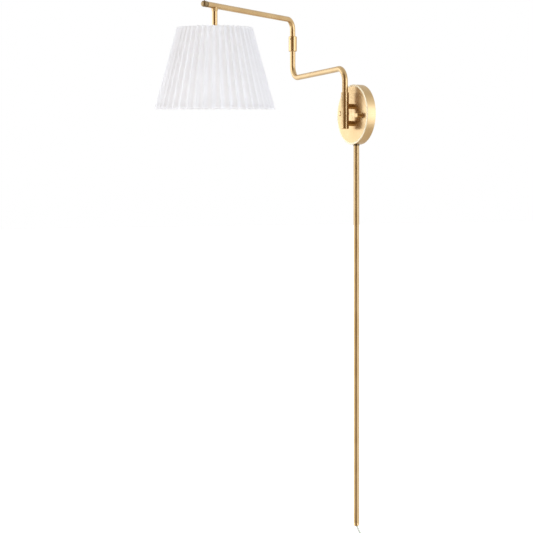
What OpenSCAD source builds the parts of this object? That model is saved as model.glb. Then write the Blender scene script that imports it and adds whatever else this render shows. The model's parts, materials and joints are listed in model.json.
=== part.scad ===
// Swing arm wall sconce: canopy, hinged double arm, pleated shade, cord cover, cord and plug.
// Millimetres, +Z up. The wall is the plane Y = 0 and the light stands out from it towards -Y.
// The origin is the centre of the mounting bar's back face, on the wall.

/* [Canopy] */
// Outside diameter of the round canopy
canopy_d = 127; // [110:1:140]
// Depth of the canopy from the wall to its face
canopy_depth = 20; // [16:1:26]
// Thickness of the spun canopy metal
canopy_wall = 1.2; // [0.8:0.1:2]
// Rounding radius of the canopy's front edge
canopy_edge_r = 1.5; // [1.5:0.5:5]
// Centre to centre spacing of the two canopy studs
stud_spacing = 70; // [66:1:90]
// Turn of the two canopy studs from level
stud_tilt = 6; // [-10:0.5:10]
// Diameter of the round knurled cap nuts
cap_nut_d = 10.8; // [8:0.2:14]

/* [Mounting bar] */
// Length of the mounting bar
bar_length = 100; // [96:1:106]
// Width of the mounting bar
bar_width = 18; // [14:1:22]
// Thickness of the mounting bar
bar_t = 2; // [1.5:0.5:3]
// Spacing of the wall box screw slots
slot_spacing = 83.3; // [83.3:0.1:90]
// End to end length of each slot
slot_length = 7; // [6:0.5:8]
// Width of each slot
slot_width = 4.4; // [4:0.2:5]

/* [Wall hinge] */
// Distance of the hinge axis from the wall
hinge_off = 37; // [34:1:42]
// Outside diameter of the hinge sleeve
sleeve_d = 16.8; // [16:0.2:18]
// Bore of the hinge sleeve that takes the bushes
sleeve_bore = 14.4; // [14:0.2:15]
// Height of the sleeve's top end
sleeve_top = 41; // [38:1:48]
// Height of the sleeve's bottom end
sleeve_bottom = -25; // [-34:1:-24]
// Diameter of the two standoff stems
standoff_d = 11.4; // [9:0.2:12]
// Height of the upper standoff
standoff_hi = 17; // [14:1:20]
// Height of the lower standoff
standoff_lo = -19; // [-22:0.5:-16]

/* [Arms] */
// Outside diameter of the arm tubes
tube_d = 12.4; // [12:0.1:12.6]
// Inside diameter of the arm tubes
tube_id = 9.8; // [8:0.2:10.4]
// Centreline bend radius of the upper arm's tube
bend_r = 22; // [18:1:24]
// Centreline bend radius of the lower arm's tube
lower_bend_r = 30; // [24:1:34]
// Length of the lower arm between its two vertical axes
lower_len = 271; // [220:1:320]
// Height of the lower arm's centreline
lower_z = 98.5; // [90:0.5:110]
// Direction of the lower arm at rest, seen from above
lower_dir = 176.34; // [90:0.01:270]
// Length of the upper arm from the elbow axis to the shade stem
upper_len = 321; // [260:0.5:360]
// Height of the upper arm's centreline at the elbow axis
upper_z = 234; // [220:1:250]
// Direction of the upper arm at rest, seen from above
upper_dir = -58.2; // [-180:0.1:180]
// Downward slope of the upper arm under the shade's weight
arm_sag = 1.5; // [0:0.1:3]

/* [Elbow] */
// Outside diameter of the elbow collar
collar_d = 19.2; // [18:0.2:22]
// Height of the collar's bottom end
collar_bottom = 161.3; // [155:0.1:165]
// Length of the elbow collar
collar_len = 34.8; // [30:0.2:40]

/* [Switch] */
// Outside diameter of the switch barrel at the arm's end
switch_d = 12.6; // [12.4:0.2:14]
// Length of the switch sleeve between the stem and the dark ring
switch_sleeve_len = 22; // [20:1:28]
// Length of the domed end barrel
barrel_len = 12; // [11:0.5:16]
// Diameter of the toggle lever
lever_d = 2.8; // [2:0.1:3.2]
// Height of the toggle lever above its pivot
lever_len = 19; // [14:1:24]
// Lean of the toggle lever away from the elbow at rest
lever_lean = 12; // [-12:1:12]

/* [Shade] */
// Outside diameter of the shade at its top edge
shade_top_d = 158.8; // [150:0.1:170]
// Outside diameter of the shade at its bottom edge
shade_bottom_d = 254; // [240:1:265]
// Height of the shade
shade_h = 171; // [165:1:185]
// Distance from the upper arm's centreline down to the shade's top edge
shade_drop = 45; // [36:1:48]
// Number of pleats round the shade
pleats = 45; // [36:1:48]
// Depth of the pleats at the top edge
pleat_top = 4.5; // [3:0.5:7]
// Depth of the pleats at the bottom edge
pleat_bottom = 6.5; // [4:0.5:9]
// Diameter of the shade frame's wire
frame_wire_d = 3; // [2:0.5:4]
// Tilt of the hanging stem and shade from upright
shade_tilt = 3.8; // [0:0.1:5]
// Direction the shade's low side faces, from the upper arm's direction
tilt_dir = 31.8; // [-90:0.1:90]

/* [Cord cover] */
// Outside diameter of the cord cover tubes
cover_d = 12; // [10:0.5:14]
// Inside diameter of the cord cover tubes
cover_id = 10; // [8:0.5:11]
// Distance of the cord cover's axis from the wall
cover_off = 9.1; // [8:0.1:11]
// Height of the cord cover's bottom end
cover_bottom = -872; // [-900:1:-800]

/* [Cord] */
// Diameter of the round clear mains cord
cord_d = 4.5; // [4:0.5:6]
// Mean radius of the tied coil of spare cord
coil_r = 27; // [22:0.5:30]
// Thickness of the tied bundle of turns
coil_bundle = 15; // [13:0.5:17]

/* [Hidden] */
$fn = 64;
fit_gap = 0.05;
elbow_x = lower_len * cos(lower_dir);
elbow_y = -hinge_off + lower_len * sin(lower_dir);
leg_shift = 1.2;
leg_len = 54.4;
collar_top = collar_bottom + collar_len;
web_z = collar_bottom + 16;
cover_top = -canopy_d / 2 - 2.6;
cover_mid = (cover_top + cover_bottom) / 2;
spider_z = -shade_drop - 12;
shell_top = spider_z - 14;
shell_bottom = shell_top - 38;
bulb_end = shell_bottom - 84;
sleeve_x = 8.05;
barrel_x = upper_len + sleeve_x + switch_sleeve_len + 1.6;
lever_x = upper_len + 37;
lever_pivot_z = 4.5;
coil_c = [2, -10.5, -945];
// route of the cord from the cover's end to the coil, and from the coil to the plug
cord_lead = [[-1.5, -9, -854], [-1.5, -9, -856.5], [-1.5, -9, -858], [-1.1, -9, -863.3],
  [0.2, -8.8, -868.5], [2.2, -8.3, -873.4], [5, -7.6, -878], [8.5, -6.9, -882], [12.5, -6.1, -886.1],
  [16.6, -5.5, -890.2], [20.7, -4.9, -894.3], [23.8, -4.6, -897.9], [26.2, -4.4, -901.9],
  [28, -4.4, -906.2], [29.1, -4.4, -910.8], [29.5, -4.4, -915.5], [29.7, -4.6, -921.5],
  [30.1, -5, -928.5], [30.7, -5.6, -936.5], [31, -5.9, -945]];
cord_tail = [[35, -8.2, -945], [34.6, -8.4, -949.8], [33.7, -8.8, -954.7], [32.5, -9.3, -959.5],
  [31.3, -9.9, -964.3], [30.4, -10.3, -969.2], [30, -10.5, -974], [30, -10.5, -980], [30, -10.5, -986],
  [30, -10.5, -992]];

// frame of the lower arm: X runs from the hinge axis to the elbow axis
module on_lower() {
  translate([0, -hinge_off, 0]) rotate([0, 0, lower_dir]) children();
}

// upright frame at the elbow: X runs along the upper arm, Z is vertical
module at_elbow() {
  translate([elbow_x, elbow_y, 0]) rotate([0, 0, upper_dir]) children();
}

// frame of the sagging upper arm: X along its centreline, origin on the elbow axis
module on_upper() {
  at_elbow() translate([0, 0, upper_z]) rotate([0, arm_sag, 0]) children();
}

// frame of the arm at the shade stem: origin on the arm's centreline, X along the arm
module on_stem() {
  on_upper() translate([upper_len, 0, 0]) children();
}

// frame of the hanging stem and shade: -Z runs down their tilted axis, X towards the low side
module on_shade() {
  on_stem() rotate([0, -arm_sag, 0]) rotate([0, 0, tilt_dir]) rotate([0, shade_tilt, 0]) children();
}

// quarter-ish bend in the XZ plane, from angle a0 over angle a
module bend(a0, a, r, d) {
  rotate([90, 0, 0]) rotate([0, 0, a0]) rotate_extrude(angle = a) translate([r, 0]) circle(d = d);
}

// the two canopy studs' places on the wall
module at_studs() {
  for (s = [-1, 1]) rotate([0, stud_tilt, 0]) translate([s * stud_spacing / 2, 0, 0]) children();
}

module rod(h, d) {
  cylinder(h = h, d = d);
}

module ring(h, od, id) {
  difference() {
    cylinder(h = h, d = od);
    translate([0, 0, -1]) cylinder(h = h + 2, d = id);
  }
}

module pan_profile(r, depth, edge) {
  square([r - edge, depth]);
  square([r, depth - edge]);
  translate([r - edge, depth - edge]) circle(r = edge);
}

module canopy() {
  color([0.72, 0.58, 0.34])
  difference() {
    rotate([90, 0, 0]) rotate_extrude() intersection() {
      difference() {
        pan_profile(canopy_d / 2, canopy_depth, canopy_edge_r);
        translate([0, -1]) pan_profile(canopy_d / 2 - canopy_wall, canopy_depth - canopy_wall + 1,
                                       canopy_edge_r - canopy_wall);
      }
      square([canopy_d, canopy_d]);
    }
    at_studs() rotate([90, 0, 0]) cylinder(h = canopy_depth + 2, d = 5);
    for (z = [standoff_hi, standoff_lo]) translate([0, 0, z]) rotate([90, 0, 0])
      cylinder(h = canopy_depth + 2, d = 6.4);
    translate([0, -cover_off, -canopy_d / 2 - 5]) cylinder(h = 15, d = 9.8);
  }
}

module mounting_bar() {
  color([0.75, 0.76, 0.78])
  difference() {
    translate([-bar_length / 2, -bar_t, -bar_width / 2]) cube([bar_length, bar_t, bar_width]);
    for (s = [-1, 1]) translate([s * slot_spacing / 2, 0, 0]) rotate([90, 0, 0]) translate([0, 0, -1])
      linear_extrude(height = bar_t + 2) {
        square([slot_length - slot_width, slot_width], center = true);
        for (k = [-1, 1]) translate([k * (slot_length - slot_width) / 2, 0]) circle(d = slot_width);
      }
    at_studs() translate([0, 1, 0]) rotate([90, 0, 0]) cylinder(h = bar_t + 2, d = 4);
    translate([0, 1, 0]) rotate([90, 0, 0]) cylinder(h = bar_t + 2, d = 10.5);
    translate([16, 1, -5]) rotate([90, 0, 0]) cylinder(h = bar_t + 2, d = 3.5);
  }
}

module canopy_studs() {
  color([0.75, 0.76, 0.78])
  at_studs() translate([0, -0.1, 0]) rotate([90, 0, 0]) rod(canopy_depth + 6, 3.9);
}

module cap_nuts() {
  color([0.72, 0.58, 0.34])
  at_studs() translate([0, -canopy_depth, 0]) rotate([90, 0, 0]) difference() {
    union() {
      cylinder(h = 1.2, d = 8);
      cylinder(h = 7, d = 5.6);
      translate([0, 0, 6.5]) cylinder(h = 3.4, d = cap_nut_d);
      translate([0, 0, 9.9]) cylinder(h = 1, d1 = cap_nut_d, d2 = cap_nut_d - 3);
    }
    translate([0, 0, -1]) cylinder(h = 7.5, d = 4);
  }
}

module standoff_stems() {
  color([0.72, 0.58, 0.34])
  difference() {
    for (z = [standoff_hi, standoff_lo]) translate([0, -canopy_depth, z]) rotate([90, 0, 0])
      ring(hinge_off - canopy_depth - 3, standoff_d, 6.2);
    translate([0, -hinge_off, sleeve_bottom]) cylinder(h = sleeve_top - sleeve_bottom, d = sleeve_d);
  }
}

module standoff_rods() {
  color([0.75, 0.76, 0.78])
  difference() {
    for (z = [standoff_hi, standoff_lo]) translate([0, -12, z]) rotate([90, 0, 0]) rod(hinge_off - 14, 6);
    translate([0, -hinge_off, sleeve_bottom]) cylinder(h = sleeve_top - sleeve_bottom, d = sleeve_bore + 0.2);
  }
}

module standoff_nuts() {
  color([0.75, 0.76, 0.78])
  for (z = [standoff_hi, standoff_lo]) translate([0, -canopy_depth + canopy_wall + 4, z]) rotate([90, 0, 0])
    difference() {
      cylinder(h = 4, d = 11.5, $fn = 6);
      translate([0, 0, -1]) cylinder(h = 6, d = 6.1);
    }
}

module hinge_sleeve() {
  color([0.72, 0.58, 0.34])
  difference() {
    translate([0, -hinge_off, sleeve_bottom]) ring(sleeve_top - sleeve_bottom, sleeve_d, sleeve_bore);
    for (z = [standoff_hi, standoff_lo]) translate([0, -hinge_off + 1, z]) rotate([-90, 0, 0])
      cylinder(h = 10, d = 6.1);
  }
}

module sleeve_bush_top() {
  color([0.9, 0.9, 0.86])
  translate([0, -hinge_off, 0]) difference() {
    union() {
      translate([0, 0, sleeve_top]) cylinder(h = 1.2, d = sleeve_d);
      translate([0, 0, sleeve_top - 12]) cylinder(h = 12.6, d = sleeve_bore - 2 * fit_gap);
    }
    translate([0, 0, sleeve_top - 13]) cylinder(h = 16, d = tube_d + 2 * fit_gap);
  }
}

module sleeve_bush_bottom() {
  color([0.9, 0.9, 0.86])
  translate([0, -hinge_off, 0]) difference() {
    union() {
      translate([0, 0, sleeve_bottom - 1.2]) cylinder(h = 1.2, d = sleeve_d);
      translate([0, 0, sleeve_bottom - 0.6]) cylinder(h = 8, d = sleeve_bore - 2 * fit_gap);
    }
    translate([0, 0, sleeve_bottom - 3]) cylinder(h = 16, d = tube_d + 2 * fit_gap);
  }
}

module cover_nipple() {
  color([0.75, 0.76, 0.78])
  translate([0, -cover_off, cover_top - 8]) ring(20, 9.6, 7);
}

module cover_locknut() {
  color([0.75, 0.76, 0.78])
  translate([0, -cover_off, -canopy_d / 2 + 1.8]) difference() {
    cylinder(h = 3, d = 15, $fn = 6);
    translate([0, 0, -1]) cylinder(h = 5, d = 9.7);
  }
}

module cover_collar() {
  color([0.35, 0.28, 0.18])
  translate([0, -cover_off, cover_top]) ring(2.4, 13.4, 9.7);
}

module cover_upper_tube() {
  color([0.72, 0.58, 0.34])
  translate([0, -cover_off, cover_mid + 0.2]) ring(cover_top - cover_mid - 0.2, cover_d, cover_id);
}

module cover_lower_tube() {
  color([0.72, 0.58, 0.34])
  difference() {
    translate([0, -cover_off, cover_bottom + 7]) ring(cover_mid - 0.2 - cover_bottom - 7, cover_d, cover_id);
    translate([0, -cover_off, cover_bottom + 10]) rotate([0, 90, -26.4]) cylinder(h = 10, d = 2.2);
  }
}

module cover_coupling() {
  color([0.75, 0.76, 0.78])
  translate([0, -cover_off, cover_mid - 20]) ring(40, cover_id - 0.1, 7.8);
}

module cover_end_cap() {
  color([0.72, 0.58, 0.34])
  difference() {
    translate([0, -cover_off, cover_bottom]) rotate_extrude() intersection() {
      union() {
        translate([0, 3]) square([cover_d / 2, 4]);
        square([cover_d / 2 - 3, 4]);
        translate([cover_d / 2 - 3, 3]) circle(r = 3);
        translate([0, 6]) square([cover_id / 2 - 0.05, 12]);
      }
      translate([4.5, -1]) square([20, 40]);
    }
    translate([0, -cover_off, cover_bottom + 10]) rotate([0, 90, -26.4]) cylinder(h = 10, d = 2);
  }
}

module cover_screw() {
  color([0.2, 0.18, 0.16])
  translate([0, -cover_off, cover_bottom + 10]) rotate([0, 90, -26.4]) translate([0, 0, 4.6]) rod(1.5, 1.9);
}

module ground_screw() {
  color([0.2, 0.55, 0.3])
  translate([16, -0.3, -5]) rotate([90, 0, 0]) union() {
    cylinder(h = 5, d = 3.4);
    translate([0, 0, bar_t]) cylinder(h = 2, d = 7.5, $fn = 6);
  }
}

module lower_path(d) {
  r = lower_bend_r;
  translate([0, 0, sleeve_bottom - 5]) rod(lower_z - r - sleeve_bottom + 5, d);
  translate([r, 0, lower_z - r]) bend(90, 90, r, d);
  translate([r, 0, lower_z]) rotate([0, 90, 0]) rod(lower_len - 2 * r, d);
  translate([lower_len - r, 0, lower_z + r]) bend(-90, 90, r, d);
  translate([lower_len, 0, lower_z + r]) rod(collar_bottom + 13.7 - lower_z - r, d);
}

module lower_arm_tube() {
  color([0.72, 0.58, 0.34])
  on_lower() difference() {
    lower_path(tube_d);
    lower_path(tube_id);
    translate([0, 0, sleeve_bottom - 6]) cylinder(h = 2, d = tube_id);
    translate([lower_len, 0, collar_bottom + 13]) cylinder(h = 2, d = tube_id);
  }
}

module hinge_collar() {
  color([0.72, 0.58, 0.34])
  on_lower() translate([0, 0, sleeve_top + 1.6]) ring(3.4, sleeve_d, tube_d + 0.05);
}

module pivot_cap() {
  color([0.72, 0.58, 0.34])
  on_lower() difference() {
    union() {
      translate([0, 0, sleeve_bottom - 5.2]) cylinder(h = 3.6, d = sleeve_d);
      translate([0, 0, sleeve_bottom - 6]) cylinder(h = 0.8, d1 = sleeve_d - 1.6, d2 = sleeve_d);
    }
    translate([0, 0, sleeve_bottom - 5]) cylinder(h = 6, d = tube_d + 0.05);
  }
}

module upper_path(d) {
  translate([leg_shift, 0, -leg_len]) rod(leg_len - bend_r, d);
  translate([leg_shift + bend_r, 0, -bend_r]) bend(90, 90, bend_r, d);
  translate([leg_shift + bend_r, 0, 0]) rotate([0, 90, 0]) rod(upper_len + 8 - leg_shift - bend_r, d);
}

module upper_arm_tube() {
  color([0.72, 0.58, 0.34])
  on_upper() difference() {
    upper_path(tube_d);
    upper_path(tube_id);
    translate([leg_shift, 0, -leg_len - 1]) cylinder(h = 2, d = tube_id);
    translate([upper_len, 0, -tube_d]) cylinder(h = tube_d, d = 7.5);
    translate([upper_len + 7, 0, 0]) rotate([0, 90, 0]) cylinder(h = 2, d = tube_id);
  }
}

module elbow_collar() {
  color([0.72, 0.58, 0.34])
  at_elbow() difference() {
    union() {
      translate([0, 0, collar_bottom]) cylinder(h = 1, d1 = collar_d - 2, d2 = collar_d);
      translate([0, 0, collar_bottom + 1]) cylinder(h = collar_len - 2, d = collar_d);
      translate([0, 0, collar_top - 1]) cylinder(h = 1, d1 = collar_d, d2 = collar_d - 2);
    }
    translate([0, 0, collar_bottom - 1]) cylinder(h = web_z - collar_bottom + 1, d = sleeve_bore);
    translate([0, 0, web_z - 1]) cylinder(h = 4, d = 7);
    translate([0, 0, web_z + 2]) cylinder(h = 30, d = tube_d + 0.7);
    translate([0, 0, collar_top - 7]) rotate([0, 90, 0]) cylinder(h = 20, d = 3.1);
  }
}

module elbow_bush() {
  color([0.9, 0.9, 0.86])
  at_elbow() translate([0, 0, collar_bottom + 0.2]) ring(13, sleeve_bore - 2 * fit_gap, tube_d + 2 * fit_gap);
}

module elbow_thrust_washer() {
  color([0.9, 0.9, 0.86])
  at_elbow() translate([0, 0, web_z - 1.9]) ring(1.8, 14, 7);
}

module elbow_grub_screw() {
  color([0.2, 0.18, 0.16])
  at_elbow() translate([0, 0, collar_top - 7]) rotate([0, 90, 0]) translate([0, 0, tube_d / 2 + 0.4])
    difference() {
      rod(2.8, 3);
      translate([0, 0, 1.5]) cylinder(h = 3, d = 1.7, $fn = 6);
    }
}

module shade_stem() {
  color([0.72, 0.58, 0.34])
  difference() {
    on_shade() union() {
      translate([0, 0, spider_z + 4.2]) cylinder(h = -spider_z - 4.2, d = 11.4);
      translate([0, 0, -12]) cylinder(h = 7, d1 = 11.4, d2 = 15.6);
    }
    on_shade() translate([0, 0, spider_z]) cylinder(h = 80, d = 9.7);
    on_stem() rotate([0, 90, 0]) translate([0, 0, -30]) cylinder(h = 60, d = tube_d);
    on_stem() translate([-30, -30, 0]) cube([60, 60, 30]);
  }
}

module stem_nut() {
  color([0.72, 0.58, 0.34])
  on_shade() translate([0, 0, spider_z + 0.9]) difference() {
    cylinder(h = 3.2, d = 18, $fn = 6);
    translate([0, 0, -1]) cylinder(h = 6, d = 9.7);
  }
}

module socket_nipple() {
  color([0.75, 0.76, 0.78])
  on_shade() translate([0, 0, spider_z - 6]) ring(18, 9.6, 7);
}

module socket_cap() {
  color([0.72, 0.58, 0.34])
  on_shade() difference() {
    union() {
      translate([0, 0, shell_top]) cylinder(h = 6, d = 35);
      translate([0, 0, shell_top + 6]) cylinder(h = 7, d1 = 35, d2 = 22);
    }
    translate([0, 0, shell_top - 1]) cylinder(h = 7, d = 33.2);
    translate([0, 0, shell_top + 5]) cylinder(h = 6.4, d1 = 33.2, d2 = 20);
    translate([0, 0, shell_top]) cylinder(h = 20, d = 9.7);
  }
}

module socket_shell() {
  color([0.72, 0.58, 0.34])
  on_shade() translate([0, 0, shell_bottom]) ring(41, 33, 31);
}

module socket_insulator() {
  color([0.12, 0.12, 0.13])
  on_shade() difference() {
    translate([0, 0, shell_bottom + 0.5]) cylinder(h = 38, d = 30.8);
    translate([0, 0, shell_bottom - 1]) cylinder(h = 32, d = 27.4);
    translate([0, 0, shell_bottom + 30]) cylinder(h = 20, d = 5);
  }
}

module socket_contact() {
  color([0.8, 0.65, 0.35])
  on_shade() translate([0, 0, shell_bottom + 28.6]) union() {
    cylinder(h = 1, d = 9);
    cylinder(h = 8, d = 4.8);
  }
}

module bulb_base() {
  color([0.75, 0.76, 0.78])
  on_shade() union() {
    translate([0, 0, shell_bottom + 2]) cylinder(h = 21, d = 26.6);
    translate([0, 0, shell_bottom + 23]) cylinder(h = 3.4, d1 = 24, d2 = 12);
    translate([0, 0, shell_bottom + 26.4]) cylinder(h = 1.6, d = 9);
  }
}

module bulb_form(w) {
  translate([0, 0, bulb_end + 30]) sphere(r = 30 - w);
  translate([0, 0, bulb_end + 40])
    cylinder(h = shell_bottom + 2 - bulb_end - 40, r1 = 28.2 - w, r2 = 13.2 - w);
}

module bulb_glass() {
  color([0.95, 0.96, 0.98, 0.5])
  on_shade() difference() {
    bulb_form(0);
    bulb_form(1);
  }
}

module wire_ring(r, d) {
  rotate_extrude() translate([r, 0]) circle(d = d);
}

module shade_spider() {
  color([0.88, 0.87, 0.84])
  on_shade() difference() {
    union() {
      translate([0, 0, spider_z - 0.8]) cylinder(h = 1.6, d = 22);
      translate([0, 0, -shade_drop - 4]) wire_ring(shade_top_d / 2 - 9, frame_wire_d);
      for (a = [30, 150, 270]) rotate([0, 0, a - tilt_dir]) translate([9, 0, spider_z + 0.5])
        rotate([0, atan2(shade_top_d / 2 - 18, 7.5), 0])
          cylinder(h = sqrt(pow(shade_top_d / 2 - 18, 2) + 56.25), d = frame_wire_d - 0.6);
    }
    translate([0, 0, spider_z - 5]) cylinder(h = 10, d = 9.8);
  }
}

module shade_bottom_ring() {
  color([0.88, 0.87, 0.84])
  on_shade() translate([0, 0, -shade_drop - shade_h + 4]) wire_ring(shade_bottom_d / 2 - 12.5, frame_wire_d);
}

module shade_ribs() {
  color([0.88, 0.87, 0.84])
  on_shade() for (a = [0:60:300]) rotate([0, 0, a]) translate([shade_top_d / 2 - 9, 0, -shade_drop - 6])
    rotate([0, 180 - atan2((shade_bottom_d - shade_top_d) / 2 - 3.5, shade_h - 8), 0]) translate([0, 0, 0.6])
      cylinder(h = shade_h - 8.4, d = 2);
}

// radius of the pleated cloth at pleat phase p, height share t from the bottom edge
function pleat_r(p, t, inset) =
  shade_bottom_d / 2 + (shade_top_d - shade_bottom_d) / 2 * t - inset
  - (pleat_bottom + (pleat_top - pleat_bottom) * t) * sin(180 * p);

module pleated_wall(thick) {
  k = 6;
  n = pleats * k;
  z0 = -shade_drop - shade_h;
  pts = [for (inset = [0, thick]) for (t = [0, 1]) for (i = [0:n - 1])
    let (a = 360 * i / n, r = pleat_r((i % k) / k, t, inset)) [r * cos(a), r * sin(a), z0 + t * shade_h]];
  faces = [for (i = [0:n - 1]) let (j = (i + 1) % n) each [
    [i, n + i, n + j], [i, n + j, j],
    [2 * n + i, 3 * n + j, 3 * n + i], [2 * n + i, 2 * n + j, 3 * n + j],
    [n + i, 3 * n + i, 3 * n + j], [n + i, 3 * n + j, n + j],
    [i, 2 * n + j, 2 * n + i], [i, j, 2 * n + j]]];
  polyhedron(points = pts, faces = faces, convexity = 10);
}

module shade_fabric() {
  color([0.93, 0.93, 0.91])
  on_shade() pleated_wall(0.9);
}

module shade_top_trim() {
  color([0.9, 0.9, 0.88])
  on_shade() translate([0, 0, -shade_drop - 7])
    ring(6, shade_top_d - 2 * pleat_top - 2.2, shade_top_d - 2 * pleat_top - 3.6);
}

module shade_bottom_trim() {
  color([0.9, 0.9, 0.88])
  on_shade() translate([0, 0, -shade_drop - shade_h + 1])
    ring(6, shade_bottom_d - 2 * pleat_bottom - 6, shade_bottom_d - 2 * pleat_bottom - 7.4);
}

module switch_sleeve() {
  color([0.72, 0.58, 0.34])
  on_stem() rotate([0, 90, 0]) difference() {
    union() {
      translate([0, 0, sleeve_x]) cylinder(h = switch_sleeve_len, d = tube_d);
      translate([0, 0, sleeve_x - 4]) cylinder(h = 6, d = tube_id - 0.1);
    }
    translate([0, 0, sleeve_x - 5]) cylinder(h = switch_sleeve_len + 6, d = tube_id - 2);
  }
}

module switch_ring() {
  color([0.2, 0.17, 0.12])
  on_stem() rotate([0, 90, 0]) translate([0, 0, switch_sleeve_len + sleeve_x]) ring(1.5, 11.2, 7.8);
}

// the barrel's domed end in five steps: height and diameter after step i
function dome_h(i) = 2.5 * sin(14 * i);
function dome_d(i) = switch_d * cos(14 * i);

module switch_barrel() {
  color([0.72, 0.58, 0.34])
  on_upper() difference() {
    union() {
      translate([barrel_x, 0, 0]) rotate([0, 90, 0]) cylinder(h = barrel_len - 2.5, d = switch_d);
      translate([barrel_x + barrel_len - 2.5, 0, 0]) rotate([0, 90, 0]) for (i = [0:4])
        translate([0, 0, dome_h(i)])
          cylinder(h = dome_h(i + 1) - dome_h(i), d1 = dome_d(i), d2 = dome_d(i + 1));
    }
    translate([barrel_x - 1, 0, 0]) rotate([0, 90, 0]) cylinder(h = barrel_len - 2.5, d = switch_d - 2);
    translate([lever_x, 0, 0]) cylinder(h = 20, d = 6.9);
  }
}

module switch_bushing() {
  color([0.78, 0.78, 0.8])
  on_upper() translate([lever_x, 0, 6]) ring(3.2, 6.8, 5.6);
}

module switch_lever() {
  color([0.8, 0.8, 0.82])
  on_upper() translate([lever_x, 0, lever_pivot_z]) rotate([0, lever_lean, 0]) union() {
    rotate([90, 0, 0]) cylinder(h = 5, d = 2, center = true);
    sphere(d = 3.6);
    cylinder(h = lever_len, d = lever_d);
    translate([0, 0, lever_len]) sphere(d = 3.6);
  }
}

function unit(v) = v / norm(v);
function tangent(p, i) = unit(p[min(i + 1, len(p) - 1)] - p[max(i - 1, 0)]);

module swept(p, d) {
  m = 10;
  n = len(p);
  pts = [for (i = [0:n - 1]) let (t = tangent(p, i), u = unit(cross(t, [0, 1, 0])), v = cross(t, u))
    for (k = [0:m - 1]) p[i] + d / 2 * (cos(360 * k / m) * u + sin(360 * k / m) * v)];
  sides = [for (i = [0:n - 2]) for (k = [0:m - 1]) let (q = (k + 1) % m) each [
    [i * m + k, (i + 1) * m + k, (i + 1) * m + q], [i * m + k, (i + 1) * m + q, i * m + q]]];
  ends = [[for (k = [0:m - 1]) k], [for (k = [0:m - 1]) n * m - 1 - k]];
  polyhedron(points = pts, faces = concat(sides, ends), convexity = 10);
}

module mains_cord() {
  color([0.8, 0.83, 0.78, 0.7])
  union() {
    swept(cord_lead, cord_d);
    swept(cord_tail, cord_d);
  }
}

module cord_coil() {
  color([0.8, 0.83, 0.78, 0.7])
  translate(coil_c) rotate([90, 0, 0]) wire_ring(coil_r, coil_bundle);
}

module cord_tie() {
  color([0.15, 0.15, 0.16])
  translate([coil_c[0] - coil_r, coil_c[1], coil_c[2] - 5]) ring(10, coil_bundle + 2.6, coil_bundle + 1.2);
}

module plug_body() {
  color([0.85, 0.86, 0.83])
  translate([30, -10.5, -1018]) union() {
    translate([-11, -6.5, 0]) cube([22, 13, 20]);
    translate([0, 0, 20]) cylinder(h = 24, d1 = 11, d2 = 7.2);
  }
}

module plug_blades() {
  color([0.8, 0.68, 0.4])
  translate([30, -10.5, -1036]) for (s = [-1, 1]) translate([s * 6.35 - 0.75, -3.15, 0]) cube([1.5, 6.3, 18]);
}

canopy();
mounting_bar();
canopy_studs();
cap_nuts();
standoff_stems();
standoff_rods();
standoff_nuts();
hinge_sleeve();
sleeve_bush_top();
sleeve_bush_bottom();
cover_nipple();
cover_locknut();
cover_collar();
cover_upper_tube();
cover_lower_tube();
cover_coupling();
cover_end_cap();
cover_screw();
ground_screw();
lower_arm_tube();
hinge_collar();
pivot_cap();
upper_arm_tube();
elbow_collar();
elbow_bush();
elbow_thrust_washer();
elbow_grub_screw();
shade_stem();
stem_nut();
socket_nipple();
socket_cap();
socket_shell();
socket_insulator();
socket_contact();
bulb_base();
bulb_glass();
shade_spider();
shade_bottom_ring();
shade_ribs();
shade_fabric();
shade_top_trim();
shade_bottom_trim();
switch_sleeve();
switch_ring();
switch_barrel();
switch_bushing();
switch_lever();
mains_cord();
cord_coil();
cord_tie();
plug_body();
plug_blades();
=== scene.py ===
import json
import math
import random

import bpy
from mathutils import Matrix, Vector


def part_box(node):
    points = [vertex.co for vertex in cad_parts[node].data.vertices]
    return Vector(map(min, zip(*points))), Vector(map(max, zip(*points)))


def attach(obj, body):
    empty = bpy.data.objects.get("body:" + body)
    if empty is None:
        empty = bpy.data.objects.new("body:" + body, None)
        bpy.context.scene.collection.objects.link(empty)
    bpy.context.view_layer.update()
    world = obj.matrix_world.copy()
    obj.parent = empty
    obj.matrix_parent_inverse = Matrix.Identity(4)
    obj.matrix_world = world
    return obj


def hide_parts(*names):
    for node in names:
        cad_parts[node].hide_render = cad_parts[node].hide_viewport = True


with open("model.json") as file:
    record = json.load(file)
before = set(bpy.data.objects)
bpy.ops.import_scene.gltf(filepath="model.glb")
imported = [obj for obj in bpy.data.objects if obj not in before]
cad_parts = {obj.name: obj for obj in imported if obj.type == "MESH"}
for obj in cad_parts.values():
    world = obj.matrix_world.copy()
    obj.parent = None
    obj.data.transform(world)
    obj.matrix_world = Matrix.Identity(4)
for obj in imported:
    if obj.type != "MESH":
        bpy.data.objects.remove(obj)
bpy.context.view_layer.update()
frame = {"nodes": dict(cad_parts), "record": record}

NODES = frame["nodes"]
random.seed(7)

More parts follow.
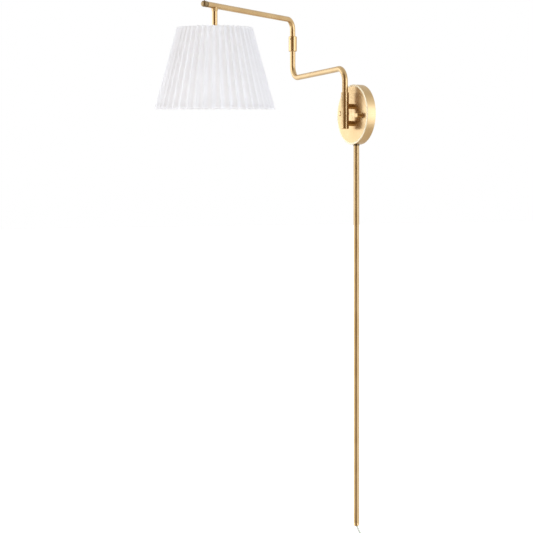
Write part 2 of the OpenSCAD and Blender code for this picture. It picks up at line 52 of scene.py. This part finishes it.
# ---------------------------------------------------------------- sizes, in metres
HINGE = Vector((0.0, -0.037, 0.0))
LOWER_LEN, LOWER_DIR = 0.271, math.radians(176.34)
UPPER_LEN, UPPER_DIR, SAG = 0.321, math.radians(-58.2), math.radians(1.5)
UPPER_Z, SHADE_DROP = 0.234, 0.045
TILT, TILT_DIR = math.radians(3.8), math.radians(31.8)
SHADE_TOP_R, SHADE_BOTTOM_R, SHADE_H = 0.0794, 0.127, 0.171
PLEATS, PLEAT_TOP, PLEAT_BOTTOM, CLOTH = 45, 0.0043, 0.0062, 0.0007
CORD_D, CORD_LEN = 0.0045, 1.85
COIL_C, COIL_R, COIL_TURNS = Vector((0.002, -0.0105, -0.945)), 0.027, 10
ELBOW = HINGE + LOWER_LEN * Vector((math.cos(LOWER_DIR), math.sin(LOWER_DIR), 0))
ON_STEM = (Matrix.Translation(ELBOW + Vector((0, 0, UPPER_Z))) @ Matrix.Rotation(UPPER_DIR, 4, "Z")
           @ Matrix.Rotation(SAG, 4, "Y") @ Matrix.Translation((UPPER_LEN, 0, 0)))
ON_SHADE = (ON_STEM @ Matrix.Rotation(-SAG, 4, "Y") @ Matrix.Rotation(TILT_DIR, 4, "Z")
            @ Matrix.Rotation(TILT, 4, "Y"))


def link(obj):
    bpy.context.scene.collection.objects.link(obj)
    return obj


def mesh_object(name, verts, faces, smooth=True):
    me = bpy.data.meshes.new(name)
    me.from_pydata([tuple(v) for v in verts], [], faces)
    me.validate()
    if smooth:
        me.shade_smooth()
    return link(bpy.data.objects.new(name, me))


# ---------------------------------------------------------------- camera
HEADING = math.radians(63.6)
cam_data = bpy.data.cameras.new("camera")
cam_data.lens, cam_data.sensor_width = 81.05, 36.0
cam_data.shift_y = -0.1435
cam_data.clip_end = 100
camera = link(bpy.data.objects.new("camera", cam_data))
camera.location = (2.1947, -1.3113, -0.1598)
camera.rotation_euler = (math.pi / 2, 0, HEADING)
bpy.context.scene.camera = camera


# ---------------------------------------------------------------- cord
def resample(points, step):
    """Catmull-Rom through the points, at about one point per step."""
    pts = [Vector(p) for p in points]
    pts = [2 * pts[0] - pts[1]] + pts + [2 * pts[-1] - pts[-2]]
    out = []
    for i in range(1, len(pts) - 2):
        p0, p1, p2, p3 = pts[i - 1:i + 3]
        n = max(1, round((p2 - p1).length / step))
        for k in range(n):
            t = k / n
            out.append(0.5 * (2 * p1 + (p2 - p0) * t + (2 * p0 - 5 * p1 + 4 * p2 - p3) * t * t
                              + (3 * p1 - p0 - 3 * p2 + p3) * t ** 3))
    out.append(pts[-2])
    return out


LEAD = [(-.0015, -.009, -.854), (-.0015, -.009, -.8565), (-.0015, -.009, -.858),
        (-.0011, -.009, -.8633), (.0002, -.0088, -.8685), (.0022, -.0083, -.8734),
        (.005, -.0076, -.878), (.0085, -.0069, -.882), (.0125, -.0061, -.8861),
        (.0166, -.0055, -.8902), (.0207, -.0049, -.8943), (.0238, -.0046, -.8979),
        (.0262, -.0044, -.9019), (.028, -.0044, -.9062), (.0291, -.0044, -.9108),
        (.0295, -.0044, -.9155), (.0297, -.0046, -.9215), (.0301, -.005, -.9285),
        (.0307, -.0056, -.9365)]
TAIL = [(.0346, -.0084, -.9498), (.0337, -.0088, -.9547), (.0325, -.0093, -.9595),
        (.0313, -.0099, -.9643), (.0304, -.0103, -.9692), (.03, -.0105, -.974), (.03, -.0105, -.98),
        (.03, -.0105, -.986), (.03, -.0105, -.992)]
# each turn's place in the bundle: mm outward from the coil's mean radius, and mm towards the wall
PACK = [(2, 4.6), (-2, 2.3), (-6, 4.6), (-6, 0), (-6, -4.6),
        (-2, -2.3), (2, 0), (2, -4.6), (6, -2.3), (6, 2.3)]


def coil_points():
    """The turns run clockwise, each in its own place in the bundle, easing over to the next."""
    out = []
    steps = 30
    for turn in range(COIL_TURNS):
        r0, y0 = PACK[turn]
        r1, y1 = PACK[min(turn + 1, COIL_TURNS - 1)]
        for k in range(steps):
            s = k / steps
            e = max(0.0, (s - 0.62) / 0.38)
            e = e * e * (3 - 2 * e)
            r = COIL_R + 0.001 * (r0 + (r1 - r0) * e)
            y = 0.001 * (y0 + (y1 - y0) * e)
            a = -2 * math.pi * s
            out.append(COIL_C + Vector((r * math.cos(a), y, r * math.sin(a))))
    return out


def tube_mesh(name, path, radius, sides=18):
    """Closed round tube along the path, with a frame carried along it so that it never twists."""
    verts, faces = [], []
    side = Vector((0, 1, 0))
    last = len(path) - 1
    for i, p in enumerate(path):
        along = (path[min(i + 1, last)] - path[max(i - 1, 0)]).normalized()
        side = (side - side.dot(along) * along).normalized()
        other = along.cross(side)
        for k in range(sides):
            a = 2 * math.pi * k / sides
            verts.append(p + radius * (math.cos(a) * side + math.sin(a) * other))
    for i in range(last):
        for k in range(sides):
            q = (k + 1) % sides
            faces.append((i * sides + k, i * sides + q, (i + 1) * sides + q, (i + 1) * sides + k))
    faces.append(tuple(reversed(range(sides))))
    faces.append(tuple(last * sides + k for k in range(sides)))
    return mesh_object(name, verts, faces)


def cord_path():
    coil = coil_points()
    lead = resample(LEAD + [tuple(coil[0])], 0.002)[:-1]
    tail = resample([tuple(coil[-1])] + TAIL, 0.003)[1:]
    return lead + coil + tail


CORD_PATH = cord_path()
cord = tube_mesh("mains_cord_round", CORD_PATH, CORD_D / 2)
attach(cord, "wall_bracket")
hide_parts("mains_cord", "cord_coil")


# ---------------------------------------------------------------- material helpers
def principled(name, **values):
    mat = bpy.data.materials.new(name)
    mat.use_nodes = True
    bsdf = mat.node_tree.nodes["Principled BSDF"]
    for key, value in values.items():
        bsdf.inputs[key.replace("_", " ").title().replace("Ior", "IOR")].default_value = value
    return mat, mat.node_tree, bsdf


def add(tree, kind, **props):
    node = tree.nodes.new("ShaderNode" + kind)
    for key, value in props.items():
        if key in node.inputs:
            node.inputs[key].default_value = value
        else:
            setattr(node, key, value)
    return node


def coords(tree, scale, rotation=(0, 0, 0)):
    tex = add(tree, "TexCoord")
    mapping = add(tree, "Mapping")
    mapping.inputs["Rotation"].default_value = rotation
    mapping.inputs["Scale"].default_value = scale
    mapping.vector_type = "POINT"
    tree.links.new(tex.outputs["Object"], mapping.inputs["Vector"])
    return mapping.outputs["Vector"]


def noise(tree, vector, scale, detail=4.0, rough=0.55):
    node = add(tree, "TexNoise", Scale=scale, Detail=detail, Roughness=rough)
    tree.links.new(vector, node.inputs["Vector"])
    return node.outputs["Fac"]


def ramp(tree, value, stops):
    node = add(tree, "ValToRGB")
    els = node.color_ramp.elements
    while len(els) < len(stops):
        els.new(0.5)
    for el, (pos, col) in zip(els, stops):
        el.position = pos
        el.color = (*col, 1) if len(col) == 3 else col
    tree.links.new(value, node.inputs["Fac"])
    return node.outputs["Color"]


def bump(tree, bsdf, height, strength, distance, normal=None):
    node = add(tree, "Bump", Strength=strength, Distance=distance)
    tree.links.new(height, node.inputs["Height"])
    if normal is not None:
        tree.links.new(normal, node.inputs["Normal"])
    tree.links.new(node.outputs["Normal"], bsdf.inputs["Normal"])
    return node.outputs["Normal"]


def remap(tree, value, lo, hi):
    node = add(tree, "MapRange")
    node.inputs["From Min"].default_value = 0.3
    node.inputs["From Max"].default_value = 0.7
    node.inputs["To Min"].default_value = lo
    node.inputs["To Max"].default_value = hi
    tree.links.new(value, node.inputs["Value"])
    return node.outputs["Result"]


# the second number is the width of the painted highlight band round the canopy's edge
CANOPY_R, PAINTED_HIGHLIGHT_BAND = 0.0635, 0.006
BLACK, WHITE = (0, 0, 0), (1, 1, 1)
BRASS_LOW, BRASS_HIGH = (0.60, 0.405, 0.185), (0.68, 0.48, 0.24)


def brass(name, along=(0, 0, 1), rough=0.24, tint=1.0, grain=1.0):
    """Satin brass drawn along one direction: fine scratches run along it, with faint cloudy tarnish."""
    mat, tree, bsdf = principled(name, metallic=1.0)
    turn = Vector(along).rotation_difference(Vector((0, 0, 1))).to_euler()
    fine = noise(tree, coords(tree, (900, 900, 14), turn), 1.0, 3.0, 0.6)
    coarse = noise(tree, coords(tree, (1, 1, 1)), 22.0, 3.0, 0.6)
    low = tuple(c * tint for c in BRASS_LOW)
    high = tuple(c * tint for c in BRASS_HIGH)
    tone = ramp(tree, coarse, [(0.3, low), (0.62, high)])
    mix = add(tree, "Mix", data_type="RGBA", blend_type="MULTIPLY")
    mix.inputs["Factor"].default_value = 0.16 * grain
    tree.links.new(tone, mix.inputs["A"])
    tree.links.new(ramp(tree, fine, [(0.3, (0.72, 0.70, 0.66)), (0.7, (1, 1, 1))]), mix.inputs["B"])
    tree.links.new(mix.outputs["Result"], bsdf.inputs["Base Color"])
    sum_rough = add(tree, "Math", operation="ADD")
    tree.links.new(remap(tree, fine, -0.02 * grain, 0.025 * grain), sum_rough.inputs[0])
    tree.links.new(remap(tree, coarse, rough - 0.015, rough + 0.02), sum_rough.inputs[1])
    tree.links.new(sum_rough.outputs[0], bsdf.inputs["Roughness"])
    bump(tree, bsdf, fine, 0.03 * grain, 0.0002)
    return mat


def spun_brass(name):
    """Brass brushed in circles round the canopy's axis, with a painted highlight: a paler, duller, less
    metallic band round its edge.
    """
    mat, tree, bsdf = principled(name, metallic=1.0, anisotropic=0.72)
    tex = add(tree, "TexCoord")
    sep = add(tree, "SeparateXYZ")
    tree.links.new(tex.outputs["Object"], sep.inputs[0])
    flat = add(tree, "CombineXYZ")
    tree.links.new(sep.outputs["X"], flat.inputs["X"])
    tree.links.new(sep.outputs["Z"], flat.inputs["Z"])
    length = add(tree, "VectorMath", operation="LENGTH")
    tree.links.new(flat.outputs[0], length.inputs[0])
    ring = add(tree, "CombineXYZ")
    tree.links.new(length.outputs["Value"], ring.inputs["X"])
    wob = noise(tree, tex.outputs["Object"], 9.0, 2.0)
    small = add(tree, "Math", operation="MULTIPLY")
    small.inputs[1].default_value = 0.0012
    tree.links.new(wob, small.inputs[0])
    tree.links.new(small.outputs[0], ring.inputs["Y"])
    fine = noise(tree, ring.outputs[0], 1400.0, 2.0, 0.7)
    coarse = noise(tree, tex.outputs["Object"], 26.0, 3.0)
    tone = ramp(tree, coarse, [(0.3, BRASS_LOW), (0.65, BRASS_HIGH)])
    mix = add(tree, "Mix", data_type="RGBA", blend_type="MULTIPLY")
    mix.inputs["Factor"].default_value = 0.2
    tree.links.new(tone, mix.inputs["A"])
    tree.links.new(ramp(tree, fine, [(0.3, (0.74, 0.72, 0.68)), (0.7, (1, 1, 1))]), mix.inputs["B"])
    # painted highlight: the band round the edge is paler, duller and less like bare metal than the face
    # inside it, so that it shows as a light line
    out = add(tree, "MapRange")
    out.inputs["From Min"].default_value = CANOPY_R - PAINTED_HIGHLIGHT_BAND
    out.inputs["From Max"].default_value = CANOPY_R
    tree.links.new(length.outputs["Value"], out.inputs["Value"])
    # mask of the painted highlight band round the canopy's edge
    edge = ramp(tree, out.outputs["Result"], [(0.30, BLACK), (0.55, WHITE), (0.97, WHITE), (1.0, BLACK)])
    painted_highlight_colour = add(tree, "Mix", data_type="RGBA")
    tree.links.new(edge, painted_highlight_colour.inputs["Factor"])
    tree.links.new(mix.outputs["Result"], painted_highlight_colour.inputs["A"])
    painted_highlight_colour.inputs["B"].default_value = (1.0, 0.90, 0.66, 1)
    tree.links.new(painted_highlight_colour.outputs["Result"], bsdf.inputs["Base Color"])
    metal = add(tree, "MapRange")
    metal.inputs["To Min"].default_value = 1.0
    metal.inputs["To Max"].default_value = 0.45
    tree.links.new(edge, metal.inputs["Value"])
    tree.links.new(metal.outputs["Result"], bsdf.inputs["Metallic"])
    softer = add(tree, "Mix", data_type="RGBA")
    tree.links.new(edge, softer.inputs["Factor"])
    tree.links.new(remap(tree, fine, 0.24, 0.32), softer.inputs["A"])
    softer.inputs["B"].default_value = (0.62, 0.62, 0.62, 1)
    tree.links.new(softer.outputs["Result"], bsdf.inputs["Roughness"])
    tangent = add(tree, "Tangent", direction_type="RADIAL", axis="Y")
    tree.links.new(tangent.outputs[0], bsdf.inputs["Tangent"])
    bump(tree, bsdf, fine, 0.05, 0.0002)
    return mat


def plated(name, colour, rough, metallic=1.0):
    mat, tree, bsdf = principled(name, metallic=metallic)
    coarse = noise(tree, coords(tree, (1, 1, 1)), 90.0, 4.0)
    fine = noise(tree, coords(tree, (1, 1, 1)), 1500.0, 2.0)
    dark = tuple(c * 0.82 for c in colour)
    tree.links.new(ramp(tree, coarse, [(0.3, dark), (0.7, colour)]), bsdf.inputs["Base Color"])
    tree.links.new(remap(tree, coarse, rough * 0.8, rough * 1.3), bsdf.inputs["Roughness"])
    bump(tree, bsdf, fine, 0.12, 0.0001)
    return mat


def moulded(name, colour, rough, **extra):
    mat, tree, bsdf = principled(name, **extra)
    coarse = noise(tree, coords(tree, (1, 1, 1)), 60.0, 3.0)
    fine = noise(tree, coords(tree, (1, 1, 1)), 2600.0, 2.0)
    dark = tuple(c * 0.9 for c in colour)
    tree.links.new(ramp(tree, coarse, [(0.3, dark), (0.7, colour)]), bsdf.inputs["Base Color"])
    tree.links.new(remap(tree, fine, rough - 0.06, rough + 0.06), bsdf.inputs["Roughness"])
    bump(tree, bsdf, fine, 0.15, 0.0001)
    return mat


def cloth_material(name, colour, weave=2600.0, through=0.38):
    """Thin woven cloth that lets some light through, with a crossed weave and uneven threads."""
    mat, tree, bsdf = principled(name, roughness=0.85, sheen_weight=0.25)
    base = coords(tree, (1, 1, 1))
    cloudy = noise(tree, base, 35.0, 3.0)
    slub = noise(tree, coords(tree, (900, 900, 45)), 1.0, 2.0)
    tone = ramp(tree, cloudy, [(0.3, tuple(c * 0.965 for c in colour)), (0.7, colour)])
    mix = add(tree, "Mix", data_type="RGBA", blend_type="MULTIPLY")
    mix.inputs["Factor"].default_value = 0.5
    tree.links.new(tone, mix.inputs["A"])
    tree.links.new(ramp(tree, slub, [(0.3, (0.95, 0.95, 0.95)), (0.6, (1, 1, 1))]), mix.inputs["B"])
    tree.links.new(mix.outputs["Result"], bsdf.inputs["Base Color"])
    pitch = weave / 6.283
    wave_a = add(tree, "TexWave", wave_type="BANDS", bands_direction="Z", Scale=pitch, Distortion=1.5)
    wave_b = add(tree, "TexWave", wave_type="BANDS", bands_direction="DIAGONAL", Scale=pitch, Distortion=1.5)
    tree.links.new(base, wave_a.inputs["Vector"])
    tree.links.new(base, wave_b.inputs["Vector"])
    both = add(tree, "Math", operation="ADD")
    tree.links.new(wave_a.outputs["Fac"], both.inputs[0])
    tree.links.new(wave_b.outputs["Fac"], both.inputs[1])
    normal = bump(tree, bsdf, both.outputs[0], 0.10, 0.0001)
    thin = add(tree, "BsdfTranslucent")
    thin.inputs["Color"].default_value = (*colour, 1)
    tree.links.new(normal, thin.inputs["Normal"])
    shader = add(tree, "MixShader")
    shader.inputs["Fac"].default_value = through
    out = tree.nodes["Material Output"]
    tree.links.new(bsdf.outputs[0], shader.inputs[1])
    tree.links.new(thin.outputs[0], shader.inputs[2])
    tree.links.new(shader.outputs[0], out.inputs["Surface"])
    return mat


lower_along = (math.cos(LOWER_DIR), math.sin(LOWER_DIR), 0)
upper_along = (math.cos(UPPER_DIR), math.sin(UPPER_DIR), -0.026)
M_TUBE = brass("brass_drawn_upright", (0, 0, 1), 0.25)
M_COVER = brass("brass_cover_tube", (0, 0, 1), 0.42, 0.82)
M_LOWER = brass("brass_drawn_lower_arm", lower_along, 0.25)
M_UPPER = brass("brass_drawn_upper_arm", upper_along, 0.25)
# painted shade: the switch barrel's brass is darkened to half, standing in for the shade on its domed end
# cap
M_BARREL_PAINTED_SHADE = brass("brass_switch_barrel_painted_shade", upper_along, 0.34, 0.5)
M_TURNED = brass("brass_turned", (0, 0, 1), 0.22, 1.0, 0.6)
M_CANOPY = spun_brass("brass_spun_canopy")
M_DARK = brass("brass_darkened", (0, 0, 1), 0.38, 0.28, 0.6)
M_ZINC = plated("steel_zinc_plated", (0.62, 0.63, 0.65), 0.32)
M_NICKEL = plated("nickel_plated", (0.72, 0.71, 0.68), 0.2)
M_NYLON = moulded("nylon_natural", (0.82, 0.81, 0.76), 0.45)
M_PHENOLIC = moulded("phenolic_black", (0.035, 0.034, 0.036), 0.4)
M_PLUG = moulded("plug_pvc", (0.74, 0.76, 0.70), 0.32, transmission_weight=0.25)
M_STRAP = moulded("strap_black", (0.03, 0.03, 0.032), 0.75)
M_WIRE = moulded("wire_white_enamel", (0.80, 0.79, 0.76), 0.3)
M_PVC = moulded("pvc_clear", (0.66, 0.70, 0.62), 0.16, transmission_weight=0.55, ior=1.53)
M_BULB = moulded("glass_frosted", (0.93, 0.94, 0.95), 0.35, transmission_weight=0.5, ior=1.5)
M_CLOTH = cloth_material("shade_cloth", (0.925, 0.925, 0.93))
M_TAPE = cloth_material("trim_tape", (0.90, 0.90, 0.90), 4200.0, 0.2)

cord.data.materials.append(M_PVC)

SLOT_MATERIAL = {"satin_brass": M_TURNED, "dark_brass": M_DARK, "zinc_steel": M_ZINC, "nickel": M_NICKEL,
                 "nylon": M_NYLON, "phenolic": M_PHENOLIC, "bulb_glass": M_BULB, "frame_wire": M_WIRE,
                 "pleated_cloth": M_CLOTH, "trim_tape": M_TAPE, "clear_pvc": M_PVC,
                 "black_strap": M_STRAP, "plug_plastic": M_PLUG}
NODE_MATERIAL = {"canopy": M_CANOPY, "cover_upper_tube": M_COVER, "cover_lower_tube": M_COVER,
                 "hinge_sleeve": M_TUBE, "elbow_collar": M_TUBE, "shade_stem": M_TUBE,
                 "lower_arm_tube": M_LOWER, "upper_arm_tube": M_UPPER, "switch_sleeve": M_UPPER,
                 "switch_barrel": M_BARREL_PAINTED_SHADE}
for part in frame["record"]["subparts"]:
    node = NODES[part["node"]]
    node.data.materials.clear()
    node.data.materials.append(NODE_MATERIAL.get(part["node"], SLOT_MATERIAL[part["material_slot"]]))


# ---------------------------------------------------------------- pleated shade
def pleat_drop(p):
    """Share of the pleat's depth at phase p: a narrow rounded ridge and a broad hollow."""
    s = abs(math.sin(math.pi * p))
    return math.sqrt(s * s + 0.004) - 0.063


def make_shade():
    """Pleated cloth with an inner and outer face, each pleat a little unlike its neighbours."""
    around = 18
    # heights of the rows, as shares of the shade's height: closer together at the hem and the top edge
    levels = [0, .007, .014, .021, .030, .045] + [.045 + .91 * k / 22 for k in range(1, 22)]
    levels += [.955, .97, .98, .99, 1]
    rows = len(levels) - 1
    n = PLEATS * around
    jog = [random.uniform(-0.03, 0.03) for _ in range(PLEATS)]
    deep = [random.uniform(0.9, 1.1) for _ in range(PLEATS)]
    lean = [random.uniform(-0.02, 0.02) for _ in range(PLEATS)]
    z0 = -SHADE_DROP - SHADE_H
    verts = []
    for inset in (0.0, CLOTH):
        for t in levels:
            z = z0 + t * SHADE_H
            radius = SHADE_BOTTOM_R + (SHADE_TOP_R - SHADE_BOTTOM_R) * t
            depth = PLEAT_BOTTOM + (PLEAT_TOP - PLEAT_BOTTOM) * t
            hem = max(0.0, 1 - t / 0.03)
            hem = hem * hem * (3 - 2 * hem)
            head = max(0.0, (t - 0.955) / 0.045)
            for i in range(n):
                k, f = divmod(i, around)
                # p runs 0 to 1 across a pleat, from ridge to ridge; w is 1 in the middle of the hollow
                p = f / around
                w = 0.5 - 0.5 * math.cos(2 * math.pi * p)
                a = jog[k] * (1 - p) + jog[(k + 1) % PLEATS] * p
                b = lean[k] * (1 - p) + lean[(k + 1) % PLEATS] * p
                turn = (k + p + a * (0.4 + 0.6 * (1 - t)) + b * math.sin(3 * t)) * 2 * math.pi / PLEATS
                r = radius - inset - depth * deep[k] * pleat_drop(p) * (1 - 0.55 * hem - 0.1 * head)
                r -= 0.0012 * hem * hem * w
                zz = z + 0.0010 * hem * w - 0.0018 * head * w
                verts.append(ON_SHADE @ Vector((r * math.cos(turn), r * math.sin(turn), zz)))
    faces = []
    side = (rows + 1) * n
    for j in range(rows):
        for i in range(n):
            q = (i + 1) % n
            a, b, c, d = j * n + i, j * n + q, (j + 1) * n + q, (j + 1) * n + i
            faces.append((a, b, c, d))
            faces.append((side + d, side + c, side + b, side + a))
    for i in range(n):
        q = (i + 1) % n
        faces.append((side + i, side + q, q, i))
        top = rows * n
        faces.append((top + i, top + q, side + top + q, side + top + i))
    return mesh_object("pleated_shade", verts, faces)


shade = make_shade()
shade.data.materials.append(M_CLOTH)
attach(shade, "upper_arm")
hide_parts("shade_fabric")

# ---------------------------------------------------------------- plug
plug_lo, plug_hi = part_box("plug_body")


def make_plug():
    """Moulded flat plug body lofted from rounded sections, ending in a ribbed strain relief.

    Each section is its height above the plug's lowest point in metres, then its two half widths in mm.
    """
    cx, cy = (plug_lo.x + plug_hi.x) / 2, (plug_lo.y + plug_hi.y) / 2
    sections = [(0.0, 9.6, 5.0), (0.0012, 10.7, 6.1), (0.004, 11.0, 6.5), (0.012, 10.8, 6.4),
                (0.0165, 9.6, 5.9), (0.0195, 7.0, 5.2), (0.0205, 5.4, 4.9)]
    for k in range(8):
        z, r = 0.0212 + 0.0027 * k, 5.2 - 0.27 * k
        groove = r - 0.9
        sections += [(z, r, r), (z + 0.0013, r, r)]
        sections += [(z + 0.0017, groove, groove), (z + 0.0023, groove, groove)]
    sections.append((0.0436, 2.7, 2.7))
    m = 48
    verts = []
    for z, hx, hy in sections:
        for k in range(m):
            a = 2 * math.pi * k / m
            c, s = math.cos(a), math.sin(a)
            e = 0.5 if z < 0.02 else 1.0
            x = math.copysign(abs(c) ** e, c) * hx / 1000
            y = math.copysign(abs(s) ** e, s) * hy / 1000
            verts.append((cx + x, cy + y, plug_lo.z + min(z, plug_hi.z - plug_lo.z)))
    faces = [tuple(reversed(range(m)))]
    for j in range(len(sections) - 1):
        for k in range(m):
            q = (k + 1) % m
            faces.append((j * m + k, j * m + q, (j + 1) * m + q, (j + 1) * m + k))
    faces.append(tuple((len(sections) - 1) * m + k for k in range(m)))
    return mesh_object("plug_moulding", verts, faces)


plug = make_plug()
plug.data.materials.append(M_PLUG)
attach(plug, "wall_bracket")
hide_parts("plug_body")

# ---------------------------------------------------------------- floor, world and lights
floor = mesh_object("floor", [(-30, -30, -1.25), (30, -30, -1.25), (30, 30, -1.25), (-30, 30, -1.25)],
                    [(0, 1, 2, 3)], smooth=False)
floor_mat, _, floor_bsdf = principled("floor_pale", base_color=(0.9, 0.9, 0.9, 1), roughness=0.9)
floor_bsdf.inputs["Emission Color"].default_value = (1, 1, 1, 1)
floor_bsdf.inputs["Emission Strength"].default_value = 1.0
floor.data.materials.append(floor_mat)
floor.visible_diffuse = floor.visible_glossy = False

# The studio round the object, by compass bearing: (bearing in degrees, red, green, blue). STUDIO is what
# level reflections meet and UPPER_STUDIO what steeper ones meet, up to OVERHEAD; BELOW is under both.
STUDIO = [(-180, .50, .50, .50), (-163, .60, .60, .60), (-150, 1, 1.06, 1.2), (-92, 1, 1.06, 1.2),
          (-74, .13, .08, .038), (-4, .10, .062, .028), (7, 1, 1.06, 1.2), (50, 1, 1.06, 1.2),
          (62, .42, .41, .42), (110, .50, .49, .48), (160, .42, .42, .42), (180, .50, .50, .50)]
UPPER_STUDIO = [(-180, .40, .40, .40), (-150, .46, .46, .46), (-92, .46, .46, .46), (-74, .13, .10, .07),
                (-4, .11, .085, .055), (7, .48, .48, .48), (50, .48, .48, .48), (62, .38, .38, .38),
                (180, .40, .40, .40)]
STUDIO_GAIN = 2.1
OVERHEAD = (0.36, 0.355, 0.355)
BELOW = (0.38, 0.355, 0.33)


def make_world():
    """Soft boxes either side of a dark gap, which streak the brass; plain white to the camera."""
    world = bpy.data.worlds.new("studio")
    bpy.context.scene.world = world
    world.use_nodes = True
    tree = world.node_tree
    direction = add(tree, "TexCoord").outputs["Generated"]
    split = add(tree, "SeparateXYZ")
    tree.links.new(direction, split.inputs[0])
    bearing = add(tree, "Math", operation="ARCTAN2")
    tree.links.new(split.outputs["Y"], bearing.inputs[0])
    tree.links.new(split.outputs["X"], bearing.inputs[1])
    share = add(tree, "MapRange")
    for key, value in (("From Min", -math.pi), ("From Max", math.pi), ("To Min", 0), ("To Max", 1)):
        share.inputs[key].default_value = value
    tree.links.new(bearing.outputs[0], share.inputs["Value"])
    sides = ramp(tree, share.outputs["Result"], [((b + 180) / 360, c) for b, *c in STUDIO])
    upper_sides = ramp(tree, share.outputs["Result"], [((b + 180) / 360, c) for b, *c in UPPER_STUDIO])
    height = add(tree, "MapRange")
    for key, value in (("From Min", -1), ("From Max", 1), ("To Min", 0), ("To Max", 1)):
        height.inputs[key].default_value = value
    tree.links.new(split.outputs["Z"], height.inputs["Value"])
    level = height.outputs["Result"]
    lifted = add(tree, "Mix", data_type="RGBA")
    tree.links.new(ramp(tree, level, [(0.68, BLACK), (0.75, WHITE)]), lifted.inputs["Factor"])
    tree.links.new(sides, lifted.inputs["A"])
    top = add(tree, "Mix", data_type="RGBA")
    tree.links.new(ramp(tree, level, [(0.89, BLACK), (0.95, WHITE)]), top.inputs["Factor"])
    tree.links.new(upper_sides, top.inputs["A"])
    top.inputs["B"].default_value = (*OVERHEAD, 1)
    tree.links.new(top.outputs["Result"], lifted.inputs["B"])
    lowered = add(tree, "Mix", data_type="RGBA")
    tree.links.new(ramp(tree, level, [(0.20, WHITE), (0.34, BLACK)]), lowered.inputs["Factor"])
    tree.links.new(lifted.outputs["Result"], lowered.inputs["A"])
    lowered.inputs["B"].default_value = (*BELOW, 1)
    studio = tree.nodes["Background"]
    studio.inputs["Strength"].default_value = STUDIO_GAIN
    tree.links.new(lowered.outputs["Result"], studio.inputs["Color"])
    white = add(tree, "Background", Color=(1, 1, 1, 1), Strength=1.0)
    seen = add(tree, "MixShader")
    tree.links.new(add(tree, "LightPath").outputs["Is Camera Ray"], seen.inputs["Fac"])
    tree.links.new(studio.outputs[0], seen.inputs[1])
    tree.links.new(white.outputs[0], seen.inputs[2])
    tree.links.new(seen.outputs[0], tree.nodes["World Output"].inputs["Surface"])


make_world()
bpy.context.scene.view_settings.view_transform = "Standard"


def area(name, location, target, size, power):
    """A soft box that lights the object but leaves no streak of its own in the brass."""
    data = bpy.data.lights.new(name, "AREA")
    data.shape, data.size, data.size_y = "RECTANGLE", size[0], size[1]
    data.energy = power
    data.color = (0.94, 0.97, 1.0)
    obj = link(bpy.data.objects.new(name, data))
    obj.location = location
    obj.rotation_euler = (Vector(target) - Vector(location)).to_track_quat("-Z", "Y").to_euler()
    obj.visible_camera = obj.visible_glossy = False
    return obj


area("key", (0.8, -2.3, 1.1), (-0.1, -0.25, 0.0), (1.3, 1.3), 24)
area("fill", (2.2, 0.2, 0.7), (-0.1, -0.25, 0.0), (1.0, 1.6), 9)
